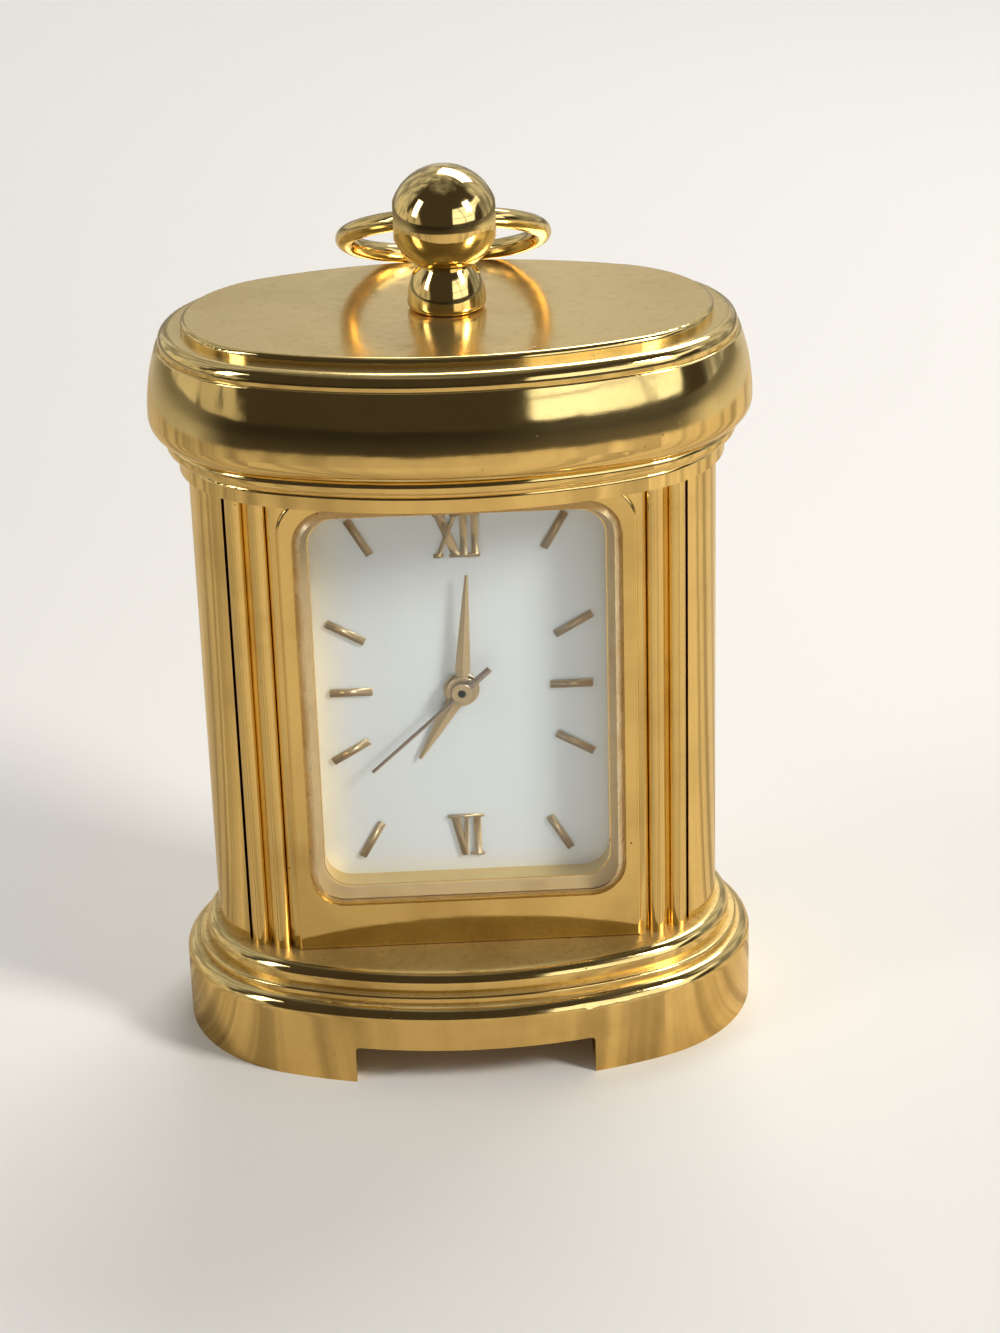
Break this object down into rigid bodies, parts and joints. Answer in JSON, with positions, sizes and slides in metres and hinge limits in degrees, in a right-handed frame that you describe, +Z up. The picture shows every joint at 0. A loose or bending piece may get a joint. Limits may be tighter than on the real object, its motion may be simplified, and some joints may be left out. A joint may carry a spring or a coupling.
{
  "type": "desk clock",
  "caption": "Miniature gold-plated column desk clock with an oval stepped plinth and cap, a ball finial carrying a loose ring, and a rectangular dial with three hands.",
  "frame": {"origin": "on the table under the middle of the oval plinth", "axes": "+Z up, the dial faces -Y, +X to the right as seen from the front"},
  "size_m": [0.0434, 0.0278, 0.0662],
  "materials": {
    "plated_gold": "polished gold plate",
    "pale_gold": "pale polished gold plate",
    "crystal": "clear polished acrylic",
    "gasket": "matt rubber",
    "dial_white": "satin white lacquer",
    "marker_gold": "polished gilt",
    "movement_brass": "brushed",
    "wheel_brass": "fine turned",
    "steel": "brushed",
    "magnet": "sintered, dull",
    "copper_wire": "enamelled copper winding",
    "board_green": "solder mask",
    "chip_black": "cast resin",
    "cell_steel": "satin nickel",
    "cover_gold": "brushed gold plate"
  },
  "bodies": {
    "case": {"plinth": "plated_gold", "column": "plated_gold", "cap": "plated_gold", "finial": "plated_gold", "finial_washer": "steel", "finial_nut": "steel", "tie_screws": "steel", "crystal": "crystal", "crystal_gasket": "gasket", "window_liner": "pale_gold", "dial": "dial_white", "hour_batons": "marker_gold", "numeral_twelve": "marker_gold", "numeral_six": "marker_gold", "main_plate": "movement_brass", "middle_plate": "movement_brass", "back_plate": "movement_brass", "coil_core": "steel", "coil": "copper_wire", "stator": "steel", "button_cell": "cell_steel", "cell_strap": "steel", "circuit_board": "board_green", "chip": "chip_black", "quartz_can": "steel", "bridge_screws": "steel", "movement_screws": "steel"},
    "carry_ring": {"carry_ring": "plated_gold"},
    "back_cover": {"back_cover": "cover_gold"},
    "hour": {"hour_wheel": "wheel_brass", "hour_hand": "marker_gold"},
    "minute": {"minute_wheel": "wheel_brass", "minute_hand": "marker_gold"},
    "seconds": {"seconds_wheel": "wheel_brass", "seconds_hand": "marker_gold"},
    "motion": {"motion_wheel": "wheel_brass", "setting_knob": "plated_gold"},
    "third": {"third_wheel": "wheel_brass"},
    "fourth": {"fourth_wheel": "wheel_brass"},
    "rotor": {"rotor": "magnet"}
  },
  "joints": [
    {"name": "ring_swing", "type": "hinge", "parent": "case", "child": "carry_ring", "pos_m": [0, 0, 0.06235], "axis": [1, 0, 0], "range_deg": [0, 235]},
    {"name": "cover_pull", "type": "slide", "parent": "case", "child": "back_cover", "axis": [0, 1, 0], "range_m": [0, 0.012]},
    {"name": "seconds_turn", "type": "hinge", "parent": "case", "child": "seconds", "pos_m": [0, 0, 0.0282], "axis": [0, 1, 0], "continuous": true},
    {"name": "minute_turn", "type": "hinge", "parent": "case", "child": "minute", "pos_m": [0, 0, 0.0282], "axis": [0, 1, 0], "continuous": true},
    {"name": "hour_turn", "type": "hinge", "parent": "case", "child": "hour", "pos_m": [0, 0, 0.0282], "axis": [0, 1, 0], "continuous": true},
    {"name": "setting_turn", "type": "hinge", "parent": "case", "child": "motion", "pos_m": [0.0041, 0, 0.02533], "axis": [0, 1, 0], "continuous": true},
    {"name": "third_turn", "type": "hinge", "parent": "case", "child": "third", "pos_m": [-0.00432, 0, 0.02977], "axis": [0, 1, 0], "continuous": true},
    {"name": "fourth_turn", "type": "hinge", "parent": "case", "child": "fourth", "pos_m": [0.00344, 0, 0.03061], "axis": [0, 1, 0], "continuous": true},
    {"name": "rotor_turn", "type": "hinge", "parent": "case", "child": "rotor", "pos_m": [0.0021, 0, 0.03429], "axis": [0, 1, 0], "continuous": true}
  ],
  "couplings": [
    {"joint": "minute_turn", "follows": "seconds_turn", "ratio": 0.016667},
    {"joint": "hour_turn", "follows": "seconds_turn", "ratio": 0.0013889},
    {"joint": "setting_turn", "follows": "seconds_turn", "ratio": -0.0055556},
    {"joint": "third_turn", "follows": "seconds_turn", "ratio": -0.13333},
    {"joint": "fourth_turn", "follows": "seconds_turn", "ratio": -5},
    {"joint": "rotor_turn", "follows": "seconds_turn", "ratio": 30}
  ]
}
